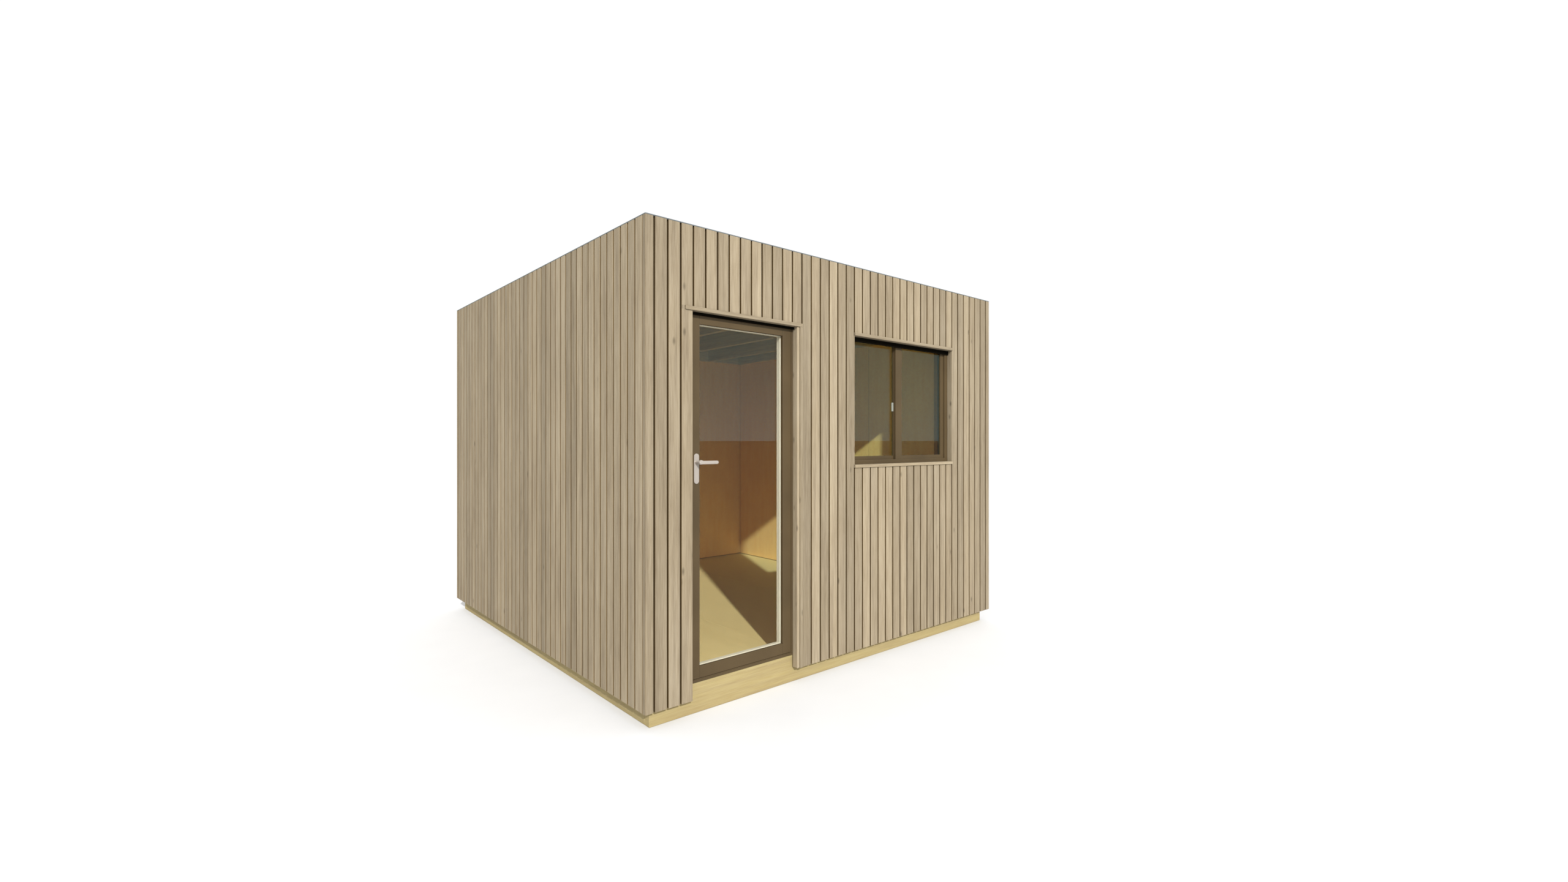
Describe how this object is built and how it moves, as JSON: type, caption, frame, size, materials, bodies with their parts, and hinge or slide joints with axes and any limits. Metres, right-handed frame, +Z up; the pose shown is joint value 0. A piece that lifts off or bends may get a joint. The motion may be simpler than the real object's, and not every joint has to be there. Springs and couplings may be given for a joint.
{
  "type": "garden studio",
  "caption": "Flat-roofed timber garden studio with vertical slat cladding, a glazed side-hung door with a lever handle, and a sliding window beside it.",
  "frame": {"origin": "on the ground, under the middle of the building's bounding box", "axes": "+Z up, -Y out of the front with the door, +X to the right seen from the front"},
  "size_m": [3.025, 3.158, 2.5],
  "materials": {
    "base_timber": "treated sawn softwood",
    "carcass_timber": "sawn softwood in shade",
    "floor_boards": "planed boards",
    "wall_lining": "plain board lining",
    "clad_timber": "planed slats, unpainted",
    "roof_timber": "planed softwood",
    "roof_sheet": "matt sheet",
    "capping_metal": "grey satin",
    "trim_timber": "planed softwood",
    "brown_frame": "satin brown",
    "window_glass": "clear",
    "latch_white": "white",
    "hinge_metal": "pale satin",
    "handle_metal": "pale satin"
  },
  "bodies": {
    "building": {"base_front": "base_timber", "base_back": "base_timber", "base_left": "base_timber", "base_right": "base_timber", "floor_joists": "carcass_timber", "battens_front": "carcass_timber", "battens_left": "carcass_timber", "battens_right": "carcass_timber", "battens_back": "carcass_timber", "floor_deck": "floor_boards", "front_wall_left": "wall_lining", "front_wall_middle": "wall_lining", "front_wall_right": "wall_lining", "front_wall_under_window": "wall_lining", "front_wall_header": "wall_lining", "left_wall": "wall_lining", "right_wall": "wall_lining", "back_wall": "wall_lining", "cladding_front_left": "clad_timber", "cladding_front_middle": "clad_timber", "cladding_front_right": "clad_timber", "cladding_over_door": "clad_timber", "cladding_over_window": "clad_timber", "cladding_under_window": "clad_timber", "cladding_left": "clad_timber", "cladding_right": "clad_timber", "cladding_back": "clad_timber", "roof_joists": "roof_timber", "roof_deck": "roof_timber", "roof_sheet": "roof_sheet", "roof_capping": "capping_metal", "door_trim_right": "trim_timber", "door_trim_head": "trim_timber", "window_trim_head": "trim_timber", "window_board": "trim_timber", "door_jamb_left": "brown_frame", "door_jamb_right": "brown_frame", "door_frame_head": "brown_frame", "door_threshold": "brown_frame", "window_frame": "brown_frame", "window_sash_left": "brown_frame", "window_sash_right": "brown_frame", "window_glass_left": "window_glass", "window_glass_right": "window_glass", "window_latch": "latch_white", "frame_hinge_leaves": "hinge_metal"},
    "door": {"door_stile_left": "brown_frame", "door_stile_right": "brown_frame", "door_top_rail": "brown_frame", "door_bottom_rail": "brown_frame", "door_glass": "window_glass", "door_hinge_leaves": "hinge_metal", "handle_plates": "handle_metal"},
    "lever": {"door_lever": "handle_metal"}
  },
  "joints": [
    {"name": "door_swing", "type": "hinge", "parent": "building", "child": "door", "pos_m": [-0.53575, -1.466, 1.126], "axis": [0, 0, -1], "range_deg": [0, 90]},
    {"name": "lever_turn", "type": "hinge", "parent": "door", "child": "lever", "pos_m": [-1.195, -1.503, 1.294], "axis": [0, 1, 0], "range_deg": [0, 45], "stiffness_Nm_per_rad": 2, "springref_deg": -22.92}
  ]
}
